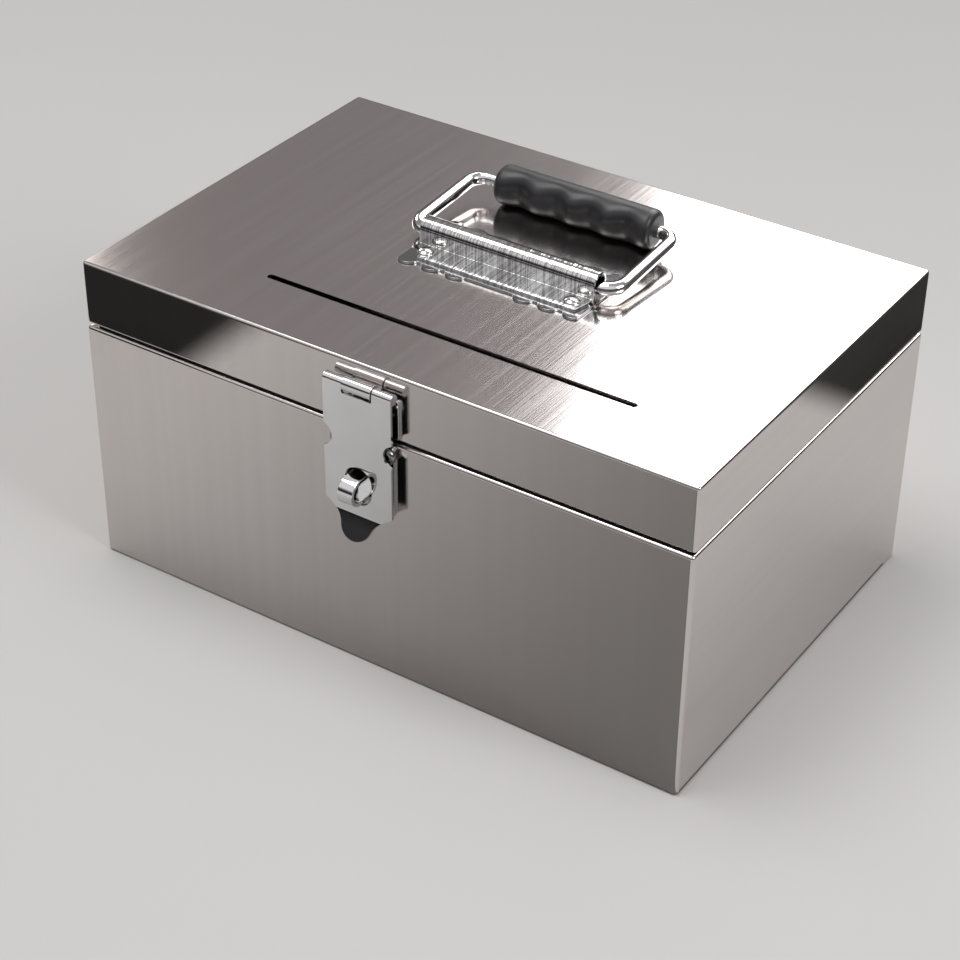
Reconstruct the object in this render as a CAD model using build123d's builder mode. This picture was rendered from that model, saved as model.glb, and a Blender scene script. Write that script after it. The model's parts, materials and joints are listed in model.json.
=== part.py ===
"""Bus fare box: welded stainless body, hinged lid with a coin slot, drop handle and padlock hasp.

Millimetres. Origin at the centre of the base, X to the right, -Y to the front, Z up.
"""

import os
from math import asin, cos, degrees, pi, radians, sin

from build123d import *

os.makedirs("parts", exist_ok=True)

# ---- driving sizes: body and lid ----
body_width = 300.0
body_depth = 200.0
body_height = 118.8
seam_gap = 1.4
lid_height = 29.8
lid_setback = 0.8
sheet = 1.2
body_corner_radius = 1.9
body_bottom_radius = 1.5
body_bend_radius = 1.6
lid_corner_radius = 1.5
lid_bend_radius = 1.4
lid_edge_radius = 0.8
body_flange = 12.0
lid_flange = 8.0
lip_above_flange = 8.0
lip_below_flange = 8.0
seal_width = 7.0
seal_inset = 3.0
seal_clearance = 0.3

# ---- driving sizes: coin slot ----
slot_length = 180.0
slot_width = 3.2
slot_centre_x = 12.5
slot_from_front = 36.0

# ---- driving sizes: back hinges ----
hinge_spacing = 190.0
hinge_width = 50.0
hinge_leaf_height = 17.0
hinge_sheet = 1.2
hinge_barrel_radius = 2.6
hinge_pin_radius = 1.25
barrel_clearance = 0.4
knuckle_gap = 0.3
running_clearance = 0.05

# ---- driving sizes: hasp and staple ----
hasp_centre_x = -1.5
hasp_width = 33.4
hasp_sheet = 1.3
hasp_barrel_radius = 2.35
hasp_middle_radius = 3.1
hasp_pin_radius = 1.1
hasp_pin_below_lid_top = 8.3
hasp_pin_from_lid = 4.2
hasp_middle_knuckle = 14.2
hasp_plate_length = 60.0
hasp_top_notch = 3.7
hasp_slot_width = 13.4
hasp_slot_height = 18.0
hasp_slot_from_pin = 46.0
hasp_side_notch_radius = 5.6
hasp_side_notch_offset = 1.6
hasp_side_notch_from_pin = 26.1
hasp_bottom_chamfer_x = 4.8
hasp_bottom_chamfer_z = 3.5
tongue_length = 11.6
tongue_tip_half = 7.5
tongue_flare = 5.6
tongue_angle = 25.0
staple_width = 7.5
staple_strip = 1.8
staple_height = 12.2
staple_reach = 14.7
staple_from_pin = 46.5
staple_plate_width = 29.4
staple_plate_corner_radius = 6.0
staple_plate_top_gap = 1.8
staple_plate_height = 37.0
staple_screw_spacing = 24.0
staple_screw_below_plate_top = 3.9
screw_head_radius = 4.0
screw_head_height = 2.4
screw_radius = 2.0
nut_across_flats = 7.0
nut_height = 3.2

# ---- driving sizes: handle ----
handle_centre_x = 4.2
handle_plate_length = 90.0
handle_plate_half_depth = 18.0
handle_plate_centre_y = -2.0
handle_plate_sheet = 1.0
bump_height = 3.2
bump_radius = 5.7
bump_pitch = 12.2
bump_first = 17.0
hood_length = 87.2
hood_sheet = 1.2
hood_flange = 11.0
hood_wall_y = -7.4
hood_headroom = 2.0
hood_taper_x = 7.0
hood_end_angle = 25.0
bail_rod_radius = 3.0
bail_play = 0.8
bail_under_gap = 1.8
bail_side_gap = 4.4
bail_reach = 50.0
bail_corner_radius = 7.5
grip_length = 79.0
grip_centre_x = 6.0
grip_radius = 9.0
grip_valley = 2.6
grip_steps_per_valley = 6
grip_end_length = 3.5
grip_end_radius = 3.0
rest_clearance = 0.3
handle_rivet_spacing = 73.2
handle_rivet_radius = 3.6
handle_rivet_head = 1.6
backing_sheet = 1.5
backing_depth = 18.0

# ---- driving sizes: rivets, screw holes ----
small_rivet_radius = 1.5
small_rivet_head_radius = 2.8
small_rivet_head_height = 1.3
small_rivet_tail_radius = 2.6
small_rivet_tail_height = 0.8
handle_shank_radius = 2.0
handle_rivet_tail_radius = 3.4
handle_rivet_tail_height = 1.2
screw_hole_clearance = 0.15

# ---- derived positions ----
front_y = -body_depth / 2
back_y = body_depth / 2
lid_depth = body_depth - 2 * lid_setback
lid_front_y = -lid_depth / 2
lid_back_y = lid_depth / 2
lid_bottom = body_height + seam_gap
lid_top = lid_bottom + lid_height
mouth_width = body_width - 2 * body_flange
mouth_depth = body_depth - 2 * body_flange
hinge_y = back_y + barrel_clearance + hinge_barrel_radius
hinge_z = body_height + seam_gap / 2
hinge_body_rivet_z = hinge_z - hinge_barrel_radius - 0.4 - hinge_leaf_height / 2
hinge_lid_rivet_z = hinge_z + hinge_barrel_radius + 0.4 + hinge_leaf_height / 2
hinge_rivet_spacing = 0.6 * hinge_width
hinge_rivet_xs = [
    side * hinge_spacing / 2 + end * hinge_rivet_spacing / 2 for side in (-1, 1) for end in (-1, 1)
]
hasp_y = lid_front_y - hasp_pin_from_lid
hasp_z = lid_top - hasp_pin_below_lid_top
hasp_rivet_z = lid_bottom + 9.0
hasp_rivet_xs = [hasp_centre_x - 9.0, hasp_centre_x + 9.0]
staple_x = hasp_centre_x - 0.5
staple_z = hasp_z - staple_from_pin
staple_plate_top = body_height - staple_plate_top_gap
staple_screw_z = staple_plate_top - staple_screw_below_plate_top
handle_rivet_xs = [handle_centre_x + end * handle_rivet_spacing / 2 for end in (-1, 1)]
handle_rivet_y = hood_wall_y - hood_flange / 2
hood_radius = bail_rod_radius + bail_play + hood_sheet
bail_axle_height = handle_plate_sheet + bail_under_gap + bail_rod_radius
bail_half_width = hood_length / 2 + bail_side_gap + bail_rod_radius


def side_plane(x):
    """A drawing plane across the box: its first direction is +Y, its second is +Z, it looks along +X."""
    return Plane(origin=(x, 0, 0), x_dir=(0, 1, 0), z_dir=(1, 0, 0))


def turned_plane(origin, along, across):
    """A drawing plane through an axis: its first direction is across the axis, its second is along it."""
    return Plane(origin=origin, x_dir=across, z_dir=Vector(across).cross(Vector(along)))


def rivet(origin, along, across, head_radius, head_height, shank_radius, thickness,
          tail_radius, tail_height):
    """One domed rivet added to the open part; the head stands on origin, the shank goes the other way."""
    dome = (head_radius**2 + head_height**2) / (2 * head_height)
    middle = head_radius * 0.7
    middle_height = head_height - dome + (dome**2 - middle**2) ** 0.5
    with BuildSketch(turned_plane(origin, along, across)) as outline:
        with BuildLine():
            Polyline(
                (0, head_height),
                (0, -thickness - tail_height),
                (tail_radius, -thickness - tail_height),
                (tail_radius, -thickness),
                (shank_radius, -thickness),
                (shank_radius, 0),
                (head_radius, 0),
            )
            ThreePointArc((head_radius, 0), (middle, middle_height), (0, head_height))
        make_face()
    revolve(outline.sketch, axis=Axis(origin, along))


def small_rivet(origin, along, thickness):
    """A small domed rivet through sheets of the given total thickness, added to the open part."""
    rivet(origin, along, (1, 0, 0), small_rivet_head_radius, small_rivet_head_height, small_rivet_radius,
          thickness, small_rivet_tail_radius, small_rivet_tail_height)


def drill(origin, along, radius, length):
    """A round hole cut out of the open part, centred on origin."""
    start = Vector(origin) - Vector(along) * (length / 2)
    with BuildSketch(Plane(origin=start, z_dir=along)) as outline:
        Circle(radius)
    extrude(outline.sketch, amount=length, mode=Mode.SUBTRACT)


def tube_x(x, length, y, z, outer, bore):
    """A tube along X added to the open part."""
    with BuildSketch(side_plane(x)) as outline:
        with Locations((y, z)):
            Circle(outer)
            Circle(bore, mode=Mode.SUBTRACT)
    extrude(outline.sketch, amount=length)


# ---- body shell: a welded box, its top edge folded inwards ----
with BuildPart() as body_shell:
    with BuildSketch():
        RectangleRounded(body_width, body_depth, body_corner_radius)
    extrude(amount=body_height)
    fillet(body_shell.faces().sort_by(Axis.Z)[0].edges(), body_bottom_radius)
    fillet(body_shell.faces().sort_by(Axis.Z)[-1].edges(), body_bend_radius)
    with BuildSketch(Plane.XY.offset(sheet)):
        RectangleRounded(body_width - 2 * sheet, body_depth - 2 * sheet, body_corner_radius - sheet)
    extrude(amount=body_height - 2 * sheet, mode=Mode.SUBTRACT)
    with BuildSketch(Plane.XY.offset(body_height - 2 * sheet)):
        Rectangle(mouth_width, mouth_depth)
    extrude(amount=3 * sheet, mode=Mode.SUBTRACT)
    for x in (hasp_centre_x - staple_screw_spacing / 2, hasp_centre_x + staple_screw_spacing / 2):
        drill((x, front_y, staple_screw_z), (0, 1, 0), screw_radius + screw_hole_clearance, 4 * sheet)
    for z in (staple_z - staple_height / 2, staple_z + staple_height / 2 - staple_strip):
        with BuildSketch(Plane(origin=(staple_x, front_y - 1, z), x_dir=(1, 0, 0), z_dir=(0, 1, 0))):
            Rectangle(staple_width, staple_strip, align=(Align.CENTER, Align.MAX))
        extrude(amount=1 + 2 * sheet, mode=Mode.SUBTRACT)
    for x in hinge_rivet_xs:
        drill((x, back_y, hinge_body_rivet_z), (0, 1, 0), small_rivet_radius, 4 * sheet)
body_shell.part.label = "body_shell"
export_step(body_shell.part, "parts/body_shell.step")

# ---- upstand welded into the mouth; the lid closes over it ----
with BuildPart() as mouth_lip:
    with BuildSketch(Plane.XY.offset(body_height - lip_below_flange)):
        Rectangle(mouth_width, mouth_depth)
        Rectangle(mouth_width - 2 * sheet, mouth_depth - 2 * sheet, mode=Mode.SUBTRACT)
    extrude(amount=lip_below_flange + lip_above_flange)
mouth_lip.part.label = "mouth_lip"
export_step(mouth_lip.part, "parts/mouth_lip.step")

# ---- rubber seal on the body's folded edge, under the lid's folded edge ----
seal_outer_width = body_width - 2 * seal_inset
seal_outer_depth = body_depth - 2 * seal_inset
with BuildPart() as lid_seal:
    with BuildSketch(Plane.XY.offset(body_height)):
        RectangleRounded(seal_outer_width, seal_outer_depth, 3.0)
        RectangleRounded(seal_outer_width - 2 * seal_width, seal_outer_depth - 2 * seal_width, 1.0,
                         mode=Mode.SUBTRACT)
    extrude(amount=seam_gap - seal_clearance)
lid_seal.part.label = "lid_seal"
export_step(lid_seal.part, "parts/lid_seal.step")

# ---- lid shell: a shallow welded tray upside down, its lower edge folded inwards ----
with BuildPart() as lid_shell:
    with BuildSketch(Plane.XY.offset(lid_bottom)):
        RectangleRounded(body_width, lid_depth, lid_corner_radius)
    extrude(amount=lid_height)
    fillet(lid_shell.faces().sort_by(Axis.Z)[-1].edges(), lid_bend_radius)
    fillet(lid_shell.faces().sort_by(Axis.Z)[0].edges(), lid_edge_radius)
    with BuildSketch(Plane.XY.offset(lid_bottom + sheet)):
        RectangleRounded(body_width - 2 * sheet, lid_depth - 2 * sheet, lid_corner_radius - sheet)
    extrude(amount=lid_height - 2 * sheet, mode=Mode.SUBTRACT)
    with BuildSketch(Plane.XY.offset(lid_bottom - sheet)):
        Rectangle(body_width - 2 * lid_flange, lid_depth - 2 * lid_flange)
    extrude(amount=3 * sheet, mode=Mode.SUBTRACT)
    with BuildSketch(Plane.XY.offset(lid_top - 2 * sheet)):
        with Locations((slot_centre_x, front_y + slot_from_front)):
            SlotOverall(slot_length, slot_width)
    extrude(amount=3 * sheet, mode=Mode.SUBTRACT)
    for x in handle_rivet_xs:
        drill((x, handle_rivet_y, lid_top), (0, 0, 1), handle_shank_radius, 4 * sheet)
    for x in hinge_rivet_xs:
        drill((x, lid_back_y, hinge_lid_rivet_z), (0, 1, 0), small_rivet_radius, 4 * sheet)
    for x in hasp_rivet_xs:
        drill((x, lid_front_y, hasp_rivet_z), (0, 1, 0), small_rivet_radius, 4 * sheet)
lid_shell.part.label = "lid_shell"
export_step(lid_shell.part, "parts/lid_shell.step")


# ---- back hinges: three knuckles on the body leaf, two on the lid leaf ----
def hinge_knuckles(centre_x, which):
    """Start and length of each knuckle of one leaf; which is 0 on the body's leaf and 1 on the lid's."""
    knuckle = (hinge_width - 4 * knuckle_gap) / 5
    pitch = knuckle + knuckle_gap
    return [(centre_x - hinge_width / 2 + i * pitch, knuckle) for i in range(which, 5, 2)]


def hinge_leaf(centre_x, which, side, face_y, bore):
    """One leaf added to the open part, on the sheet at face_y; side is -1 below the pin and 1 above it."""
    edge_z = hinge_z + side * (hinge_barrel_radius + 0.4)
    far_z = edge_z + side * hinge_leaf_height
    middle_z = (edge_z + far_z) / 2
    leaf_plane = Plane(origin=(centre_x, face_y, middle_z), x_dir=(-1, 0, 0), z_dir=(0, 1, 0))
    with BuildSketch(leaf_plane) as sheet_outline:
        RectangleRounded(hinge_width, hinge_leaf_height, 1.5)
    extrude(sheet_outline.sketch, amount=hinge_sheet)
    for x, length in hinge_knuckles(centre_x, which):
        with BuildSketch(side_plane(x)) as knuckle_outline:
            with BuildLine():
                Polyline(
                    (face_y, edge_z + side * 2),
                    (face_y + hinge_sheet, edge_z + side * 2),
                    (hinge_y, hinge_z + side * (hinge_barrel_radius - 0.1)),
                    (hinge_y, hinge_z),
                    (hinge_y - hinge_barrel_radius + 0.05, hinge_z),
                    (face_y, hinge_z + side * (hinge_barrel_radius - 0.6)),
                    close=True,
                )
            make_face()
            with Locations((hinge_y, hinge_z)):
                Circle(hinge_barrel_radius)
                Circle(bore, mode=Mode.SUBTRACT)
        extrude(knuckle_outline.sketch, amount=length)
    for x in (centre_x - hinge_rivet_spacing / 2, centre_x + hinge_rivet_spacing / 2):
        drill((x, face_y, middle_z), (0, 1, 0), small_rivet_radius, 4 * hinge_sheet)


with BuildPart() as hinge_body_leaf_left:
    hinge_leaf(-hinge_spacing / 2, 0, -1, back_y, hinge_pin_radius)
hinge_body_leaf_left.part.label = "hinge_body_leaf_left"
export_step(hinge_body_leaf_left.part, "parts/hinge_body_leaf_left.step")

with BuildPart() as hinge_body_leaf_right:
    hinge_leaf(hinge_spacing / 2, 0, -1, back_y, hinge_pin_radius)
hinge_body_leaf_right.part.label = "hinge_body_leaf_right"
export_step(hinge_body_leaf_right.part, "parts/hinge_body_leaf_right.step")

with BuildPart() as hinge_lid_leaf_left:
    hinge_leaf(-hinge_spacing / 2, 1, 1, lid_back_y, hinge_pin_radius + running_clearance)
hinge_lid_leaf_left.part.label = "hinge_lid_leaf_left"
export_step(hinge_lid_leaf_left.part, "parts/hinge_lid_leaf_left.step")

with BuildPart() as hinge_lid_leaf_right:
    hinge_leaf(hinge_spacing / 2, 1, 1, lid_back_y, hinge_pin_radius + running_clearance)
hinge_lid_leaf_right.part.label = "hinge_lid_leaf_right"
export_step(hinge_lid_leaf_right.part, "parts/hinge_lid_leaf_right.step")

with BuildPart() as hinge_pins:
    for x in (-hinge_spacing / 2, hinge_spacing / 2):
        with BuildSketch(side_plane(x - hinge_width / 2 - 0.6)):
            with Locations((hinge_y, hinge_z)):
                Circle(hinge_pin_radius)
        extrude(amount=hinge_width + 1.2)
hinge_pins.part.label = "hinge_pins"
export_step(hinge_pins.part, "parts/hinge_pins.step")

with BuildPart() as hinge_body_rivets:
    for x in hinge_rivet_xs:
        small_rivet((x, back_y + hinge_sheet, hinge_body_rivet_z), (0, 1, 0), hinge_sheet + sheet)
hinge_body_rivets.part.label = "hinge_body_rivets"
export_step(hinge_body_rivets.part, "parts/hinge_body_rivets.step")

with BuildPart() as hinge_lid_rivets:
    for x in hinge_rivet_xs:
        small_rivet((x, lid_back_y + hinge_sheet, hinge_lid_rivet_z), (0, 1, 0), hinge_sheet + sheet)
hinge_lid_rivets.part.label = "hinge_lid_rivets"
export_step(hinge_lid_rivets.part, "parts/hinge_lid_rivets.step")

# ---- hasp: fixed leaf with the middle knuckle, on the lid ----
middle_start = hasp_centre_x - hasp_middle_knuckle / 2
leaf_bottom = lid_bottom + 1.0
leaf_top = hasp_z - hasp_barrel_radius
with BuildPart() as hasp_leaf:
    with BuildSketch(Plane(origin=(hasp_centre_x, lid_front_y, (leaf_bottom + leaf_top) / 2),
                           x_dir=(1, 0, 0), z_dir=(0, -1, 0))):
        RectangleRounded(hasp_width, leaf_top - leaf_bottom, 1.0)
    extrude(amount=hasp_sheet)
    with BuildSketch(side_plane(middle_start)):
        with BuildLine():
            Polyline(
                (lid_front_y, leaf_top - 2.5),
                (lid_front_y - hasp_sheet, leaf_top - 2.5),
                (hasp_y + 0.4, hasp_z - hasp_barrel_radius + 0.1),
                (hasp_y, hasp_z),
                (hasp_y + hasp_barrel_radius - 0.15, hasp_z + 0.6),
                (lid_front_y, hasp_z - 1.2),
                close=True,
            )
        make_face()
        with Locations((hasp_y, hasp_z)):
            Circle(hasp_middle_radius)
            Circle(hasp_pin_radius, mode=Mode.SUBTRACT)
    extrude(amount=hasp_middle_knuckle)
    for x in hasp_rivet_xs:
        drill((x, lid_front_y, hasp_rivet_z), (0, 1, 0), small_rivet_radius, 4 * sheet)
hasp_leaf.part.label = "hasp_leaf"
export_step(hasp_leaf.part, "parts/hasp_leaf.step")

with BuildPart() as hasp_pin:
    with BuildSketch(side_plane(hasp_centre_x - hasp_width / 2)):
        with Locations((hasp_y, hasp_z)):
            Circle(hasp_pin_radius)
    extrude(amount=hasp_width)
hasp_pin.part.label = "hasp_pin"
export_step(hasp_pin.part, "parts/hasp_pin.step")

with BuildPart() as hasp_rivets:
    for x in hasp_rivet_xs:
        small_rivet((x, lid_front_y - hasp_sheet, hasp_rivet_z), (0, -1, 0), hasp_sheet + sheet)
hasp_rivets.part.label = "hasp_rivets"
export_step(hasp_rivets.part, "parts/hasp_rivets.step")

# ---- hasp: swing plate with two knuckles, side notches, staple slot and finger tongue ----
plate_face_y = hasp_y - hasp_barrel_radius
root_z = hasp_z - hasp_plate_length
half_width = hasp_width / 2
root_half = half_width - hasp_bottom_chamfer_x
slot_z = hasp_z - hasp_slot_from_pin
side_notch_z = hasp_z - hasp_side_notch_from_pin
notch_half = hasp_middle_knuckle / 2 + knuckle_gap
with BuildPart() as hasp_plate:
    with BuildSketch(Plane(origin=(hasp_centre_x, plate_face_y, 0), x_dir=(-1, 0, 0), z_dir=(0, 1, 0))):
        with BuildLine():
            Polyline(
                (-half_width, hasp_z),
                (-half_width, root_z + hasp_bottom_chamfer_z),
                (-root_half, root_z),
                (root_half, root_z),
                (half_width, root_z + hasp_bottom_chamfer_z),
                (half_width, hasp_z),
                close=True,
            )
        make_face()
        with Locations((-half_width - hasp_side_notch_offset, side_notch_z),
                       (half_width + hasp_side_notch_offset, side_notch_z)):
            Circle(hasp_side_notch_radius, mode=Mode.SUBTRACT)
        with Locations((0, slot_z)):
            SlotOverall(hasp_slot_height, hasp_slot_width, rotation=90, mode=Mode.SUBTRACT)
    extrude(amount=hasp_sheet)
    for x in (hasp_centre_x - half_width, hasp_centre_x + notch_half):
        tube_x(x, half_width - notch_half, hasp_y, hasp_z, hasp_barrel_radius, 0.4)
    with BuildSketch(side_plane(hasp_centre_x - notch_half)):
        with Locations((hasp_y, hasp_z - hasp_top_notch + 10)):
            Rectangle(4 * hasp_barrel_radius, 20)
    extrude(amount=2 * notch_half, mode=Mode.SUBTRACT)
    drill((hasp_centre_x, hasp_y, hasp_z), (1, 0, 0), hasp_pin_radius + running_clearance, 2 * hasp_width)
    tilt = radians(tongue_angle)
    with BuildSketch(Plane(origin=(hasp_centre_x, plate_face_y, root_z), x_dir=(-1, 0, 0),
                           z_dir=(0, cos(tilt), -sin(tilt)))):
        with BuildLine():
            Line((-root_half, 0), (root_half, 0))
            ThreePointArc((root_half, 0), (tongue_tip_half + 1.4, -tongue_flare * 0.5),
                          (tongue_tip_half, -tongue_flare))
            ThreePointArc((tongue_tip_half, -tongue_flare), (0, -tongue_length),
                          (-tongue_tip_half, -tongue_flare))
            ThreePointArc((-tongue_tip_half, -tongue_flare), (-tongue_tip_half - 1.4, -tongue_flare * 0.5),
                          (-root_half, 0))
        make_face()
    extrude(amount=hasp_sheet)
    with BuildSketch(side_plane(hasp_centre_x - root_half)):
        with BuildLine():
            Polyline(
                (plate_face_y, root_z),
                (plate_face_y + hasp_sheet, root_z),
                (plate_face_y + hasp_sheet * cos(tilt), root_z - hasp_sheet * sin(tilt)),
                close=True,
            )
        make_face()
    extrude(amount=2 * root_half)
hasp_plate.part.label = "hasp_plate"
export_step(hasp_plate.part, "parts/hasp_plate.step")

# ---- staple plate on the body front, staple through it, screws and nuts ----
with BuildPart() as staple_plate:
    with BuildSketch(Plane(origin=(hasp_centre_x, front_y, staple_plate_top),
                           x_dir=(1, 0, 0), z_dir=(0, -1, 0))):
        with Locations((0, -staple_plate_height / 2)):
            Rectangle(staple_plate_width, staple_plate_height)
    extrude(amount=hasp_sheet)
    fillet(staple_plate.edges().filter_by(Axis.Y).group_by(Axis.Z)[0], staple_plate_corner_radius)
    fillet(staple_plate.edges().filter_by(Axis.Y).group_by(Axis.Z)[-1], 1.5)
    for x in (hasp_centre_x - staple_screw_spacing / 2, hasp_centre_x + staple_screw_spacing / 2):
        drill((x, front_y, staple_screw_z), (0, 1, 0), screw_radius + screw_hole_clearance, 4 * hasp_sheet)
    for z in (staple_z - staple_height / 2, staple_z + staple_height / 2 - staple_strip):
        with BuildSketch(Plane(origin=(staple_x, front_y - 3 * hasp_sheet, z),
                               x_dir=(1, 0, 0), z_dir=(0, 1, 0))):
            Rectangle(staple_width, staple_strip, align=(Align.CENTER, Align.MAX))
        extrude(amount=4 * hasp_sheet, mode=Mode.SUBTRACT)
staple_plate.part.label = "staple_plate"
export_step(staple_plate.part, "parts/staple_plate.step")

# ---- staple: a strip bent to an arch, its legs through the staple plate and the body wall ----
arch_radius = staple_height / 2
arch_centre_y = front_y - staple_reach + arch_radius
leg_end_y = front_y + sheet + 1.0
inner_radius = arch_radius - staple_strip
with BuildPart() as staple_loop:
    with BuildSketch(side_plane(staple_x - staple_width / 2)):
        with BuildLine():
            Line((leg_end_y, staple_z + arch_radius), (arch_centre_y, staple_z + arch_radius))
            ThreePointArc((arch_centre_y, staple_z + arch_radius), (arch_centre_y - arch_radius, staple_z),
                          (arch_centre_y, staple_z - arch_radius))
            Line((arch_centre_y, staple_z - arch_radius), (leg_end_y, staple_z - arch_radius))
            Line((leg_end_y, staple_z - arch_radius), (leg_end_y, staple_z - inner_radius))
            Line((leg_end_y, staple_z - inner_radius), (arch_centre_y, staple_z - inner_radius))
            ThreePointArc((arch_centre_y, staple_z - inner_radius),
                          (arch_centre_y - inner_radius, staple_z),
                          (arch_centre_y, staple_z + inner_radius))
            Line((arch_centre_y, staple_z + inner_radius), (leg_end_y, staple_z + inner_radius))
            Line((leg_end_y, staple_z + inner_radius), (leg_end_y, staple_z + arch_radius))
        make_face()
    extrude(amount=staple_width)
staple_loop.part.label = "staple_loop"
export_step(staple_loop.part, "parts/staple_loop.step")

screw_xs = [hasp_centre_x - staple_screw_spacing / 2, hasp_centre_x + staple_screw_spacing / 2]
head_seat_y = front_y - hasp_sheet
screw_length = hasp_sheet + sheet + nut_height + 1.0
with BuildPart() as staple_screws:
    for x in screw_xs:
        with BuildSketch(turned_plane((x, head_seat_y, staple_screw_z), (0, -1, 0), (1, 0, 0))):
            with BuildLine():
                Polyline(
                    (screw_head_radius * 0.55, screw_head_height),
                    (0, screw_head_height),
                    (0, -screw_length),
                    (screw_radius - 0.4, -screw_length),
                    (screw_radius, -screw_length + 0.4),
                    (screw_radius, 0),
                    (screw_head_radius, 0),
                    (screw_head_radius, screw_head_height * 0.45),
                )
                ThreePointArc((screw_head_radius, screw_head_height * 0.45),
                              (screw_head_radius * 0.88, screw_head_height * 0.82),
                              (screw_head_radius * 0.55, screw_head_height))
            make_face()
        revolve(axis=Axis((x, head_seat_y, staple_screw_z), (0, -1, 0)))
        cross_start = (x, head_seat_y - screw_head_height, staple_screw_z)
        with BuildSketch(Plane(origin=cross_start, x_dir=(1, 0, 0), z_dir=(0, -1, 0))):
            Rectangle(4.2, 1.0, rotation=20)
            Rectangle(1.0, 4.2, rotation=20)
        extrude(amount=-1.5, mode=Mode.SUBTRACT)
staple_screws.part.label = "staple_screws"
export_step(staple_screws.part, "parts/staple_screws.step")

with BuildPart() as staple_nuts:
    for x in screw_xs:
        with BuildSketch(Plane(origin=(x, front_y + sheet, staple_screw_z),
                               x_dir=(1, 0, 0), z_dir=(0, 1, 0))):
            RegularPolygon(nut_across_flats / 2, 6, major_radius=False)
            Circle(screw_radius, mode=Mode.SUBTRACT)
        extrude(amount=nut_height)
staple_nuts.part.label = "staple_nuts"
export_step(staple_nuts.part, "parts/staple_nuts.step")

# ---- handle base plate: wavy long edges, two rivet holes ----
bump_ys = handle_plate_half_depth + bump_height - bump_radius
with BuildPart() as handle_plate:
    with BuildSketch(Plane.XY.offset(lid_top)):
        with Locations((handle_centre_x, handle_plate_centre_y)):
            Rectangle(handle_plate_length, 2 * handle_plate_half_depth)
        for side_x in (-1, 1):
            for i in range(3):
                for side_y in (-1, 1):
                    with Locations((handle_centre_x + side_x * (bump_first + i * bump_pitch),
                                    handle_plate_centre_y + side_y * bump_ys)):
                        Circle(bump_radius)
        with Locations((handle_centre_x, handle_plate_centre_y)):
            Rectangle(handle_plate_length, 4 * handle_plate_half_depth, mode=Mode.INTERSECT)
    extrude(amount=handle_plate_sheet)
    for x in handle_rivet_xs:
        drill((x, handle_rivet_y, lid_top), (0, 0, 1), handle_shank_radius, 4 * handle_plate_sheet)
handle_plate.part.label = "handle_plate"
export_step(handle_plate.part, "parts/handle_plate.step")

# ---- handle hood: flange, upright wall and a curl over the bail's axle ----
hood_base = lid_top + handle_plate_sheet
curl_y = hood_wall_y + hood_radius
curl_z = lid_top + bail_axle_height + hood_headroom
curl_inner = hood_radius - hood_sheet
end_angle = radians(hood_end_angle)
hood_left = handle_centre_x - hood_length / 2
with BuildPart() as handle_hood:
    with BuildSketch(side_plane(hood_left)) as hood_outline:
        with BuildLine():
            Line((hood_wall_y - hood_flange, hood_base), (hood_wall_y + hood_sheet - 1.0, hood_base))
            ThreePointArc((hood_wall_y + hood_sheet - 1.0, hood_base),
                          (hood_wall_y + hood_sheet - 0.29, hood_base + 0.29),
                          (hood_wall_y + hood_sheet, hood_base + 1.0))
            Line((hood_wall_y + hood_sheet, hood_base + 1.0), (hood_wall_y + hood_sheet, curl_z))
            ThreePointArc((hood_wall_y + hood_sheet, curl_z), (curl_y, curl_z + curl_inner),
                          (curl_y + curl_inner * cos(end_angle), curl_z - curl_inner * sin(end_angle)))
            Line((curl_y + curl_inner * cos(end_angle), curl_z - curl_inner * sin(end_angle)),
                 (curl_y + hood_radius * cos(end_angle), curl_z - hood_radius * sin(end_angle)))
            ThreePointArc((curl_y + hood_radius * cos(end_angle), curl_z - hood_radius * sin(end_angle)),
                          (curl_y, curl_z + hood_radius), (hood_wall_y, curl_z))
            Line((hood_wall_y, curl_z), (hood_wall_y, hood_base + hood_sheet))
            Line((hood_wall_y, hood_base + hood_sheet), (hood_wall_y - hood_flange, hood_base + hood_sheet))
            Line((hood_wall_y - hood_flange, hood_base + hood_sheet),
                 (hood_wall_y - hood_flange, hood_base))
        make_face()
    extrude(amount=hood_length)
    flange_front_y = hood_wall_y - hood_flange
    with BuildSketch(Plane.XY.offset(hood_base - 1)):
        with BuildLine():
            Polyline(
                (hood_left - 1, flange_front_y - 1),
                (hood_left + hood_taper_x + 0.6, flange_front_y - 1),
                (hood_left, hood_wall_y - 0.4),
                (hood_left - 1, hood_wall_y - 0.4),
                close=True,
            )
        make_face()
    extrude(amount=4, mode=Mode.SUBTRACT)
    with BuildSketch(Plane.XY.offset(hood_base - 1)):
        with BuildLine():
            Polyline(
                (hood_left + hood_length + 1, flange_front_y - 1),
                (hood_left + hood_length - 2.4, flange_front_y - 1),
                (hood_left + hood_length, hood_wall_y - 0.4),
                (hood_left + hood_length + 1, hood_wall_y - 0.4),
                close=True,
            )
        make_face()
    extrude(amount=4, mode=Mode.SUBTRACT)
    for x in handle_rivet_xs:
        drill((x, handle_rivet_y, hood_base), (0, 0, 1), handle_shank_radius, 4 * hood_sheet)
handle_hood.part.label = "handle_hood"
export_step(handle_hood.part, "parts/handle_hood.step")

# ---- strengthening plate inside the lid, and the rivets through everything ----
with BuildPart() as handle_backing:
    with BuildSketch(Plane.XY.offset(lid_top - sheet - backing_sheet)):
        with Locations((handle_centre_x, handle_rivet_y)):
            Rectangle(handle_plate_length, backing_depth)
    extrude(amount=backing_sheet)
    for x in handle_rivet_xs:
        drill((x, handle_rivet_y, lid_top - sheet), (0, 0, 1), handle_shank_radius, 4 * backing_sheet)
handle_backing.part.label = "handle_backing"
export_step(handle_backing.part, "parts/handle_backing.step")

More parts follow.
